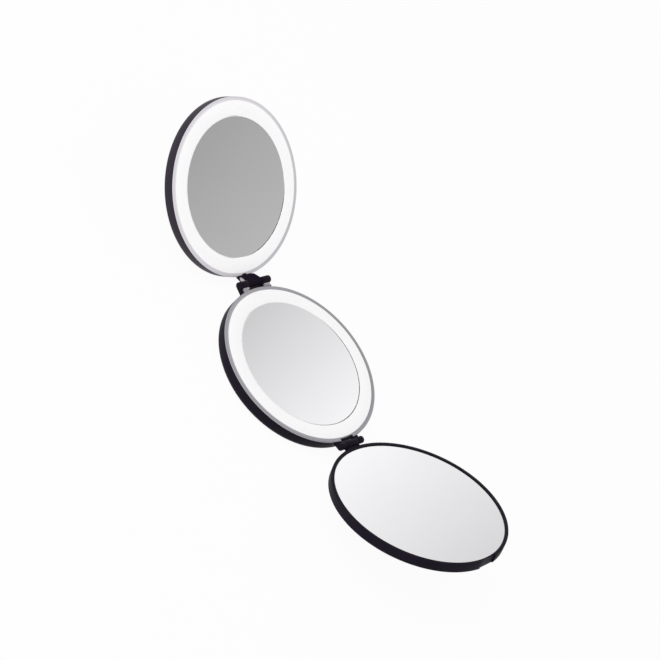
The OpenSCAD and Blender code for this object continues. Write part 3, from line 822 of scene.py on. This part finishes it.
# %% [markdown]
# A mirror shows what stands in front of it, so its look is decided off the picture. In a studio,
# large soft cards stand where the mirrors look. The three mirrors are tilted differently and each
# catches its own card: the upper one a grey card, the middle one a card that pales towards one side,
# and the lower one a nearly white card. Each card is one emitting sheet whose brightness changes
# evenly along a direction, and which fades out towards its edge. They show in reflections only.

# %% Reflected cards
CARD_X = 0.6
CARD_FADE = (0.13, 0.2)


def gradient_card(name, centre, level, slope):
    """A round card in the plane x = CARD_X; slope is the change of level per metre in Y and Z."""
    material, tree, blend, glow = blended_material(
        name, ("ShaderNodeBsdfTransparent", {}), ("ShaderNodeEmission", {"Color": WHITE}))
    place = tree.nodes.new("ShaderNodeTexCoord").outputs["Object"]
    offset = vector_math(tree, "SUBTRACT", place, (CARD_X, *centre))
    brightness = tree.nodes.new("ShaderNodeMath")
    brightness.operation = "ADD"
    brightness.inputs[1].default_value = level
    tree.links.new(vector_math(tree, "DOT_PRODUCT", offset, (0.0, *slope)), brightness.inputs[0])
    tree.links.new(brightness.outputs[0], glow.inputs["Strength"])
    fade = change_from_to(tree, vector_math(tree, "LENGTH", offset), CARD_FADE, (1.0, 0.0))
    shown = multiply(tree, seen_directly(tree, with_camera=False), fade)
    tree.links.new(shown, blend.inputs["Fac"])
    shape = bmesh.new()
    bmesh.ops.create_circle(shape, cap_ends=True, segments=48, radius=CARD_FADE[1])
    bmesh.ops.rotate(shape, cent=(0, 0, 0), matrix=Matrix.Rotation(math.radians(-90), 3, "Y"),
                     verts=shape.verts)
    bmesh.ops.translate(shape, vec=(CARD_X, *centre), verts=shape.verts)
    stage_piece(name, shape, material)


gradient_card("upper_card", centre=(-0.316, 0.442), level=0.465, slope=(-0.3, -0.82))
gradient_card("middle_card", centre=(0.18, 0.542), level=0.84, slope=(-2.4, -0.1))
gradient_card("lower_card", centre=(0.357, 0.303), level=0.9, slope=(1.3, -1.28))

# %% [markdown]
# The light is soft and comes from all round, as in a white tent. What a camera or a reflection sees
# of the tent is white near the floor and greyer overhead, so that a mirror turned to it from any
# side shows a soft change of grey and reads as a mirror, and flat black tops stay dark.

# %% World
SKY_LIGHT, LOW_SKY_SEEN, HIGH_SKY_SEEN = 0.6, 1.0, 0.45
GREYER_FROM, GREYEST_AT = 0.15, 0.95
world = bpy.data.worlds.new("studio")
bpy.context.scene.world = world
world.use_nodes = True
tree = world.node_tree
tree.nodes.clear()
output = tree.nodes.new("ShaderNodeOutputWorld")
direction = tree.nodes.new("ShaderNodeTexCoord").outputs["Generated"]
steepness = vector_math(tree, "DOT_PRODUCT", direction, (0.0, 0.0, 1.0))
sky_seen = change_from_to(tree, steepness, (GREYER_FROM, GREYEST_AT), (LOW_SKY_SEEN, HIGH_SKY_SEEN))
strength = add_node(tree, "ShaderNodeMapRange", To_Min=SKY_LIGHT)
tree.links.new(seen_directly(tree), strength.inputs["Value"])
tree.links.new(sky_seen, strength.inputs["To Max"])
sky = add_node(tree, "ShaderNodeBackground", Color=WHITE)
tree.links.new(strength.outputs["Result"], sky.inputs["Strength"])
tree.links.new(sky.outputs[0], output.inputs["Surface"])
print("world:", world.name)

# %% [markdown]
# Two large soft discs add to it: one above the far corner, and a weaker one low on the same side that
# lifts the leaves' walls. They stay out of the mirrors, where their hard round edges would show.

# %% Lamps
def add_lamp(name, place, size, watts):
    lamp_data = bpy.data.lights.new(name, "AREA")
    lamp_data.shape = "DISK"
    lamp_data.size = size
    lamp_data.energy = watts
    lamp = bpy.data.objects.new(name, lamp_data)
    bpy.context.scene.collection.objects.link(lamp)
    lamp.location = place
    lamp.rotation_euler = (-Vector(place)).to_track_quat("-Z", "Y").to_euler()
    lamp.visible_glossy = False
    print("lamp:", name, watts, "W")


add_lamp("key_softbox", place=(-0.6, 0.6, 1.0), size=1.0, watts=5.0)
add_lamp("fill_softbox", place=(-0.9, 0.6, 0.35), size=0.8, watts=3.0)

# %% [markdown]
# Last, the view is set to show colours as they are.

# %% View
bpy.context.scene.view_settings.view_transform = "Standard"
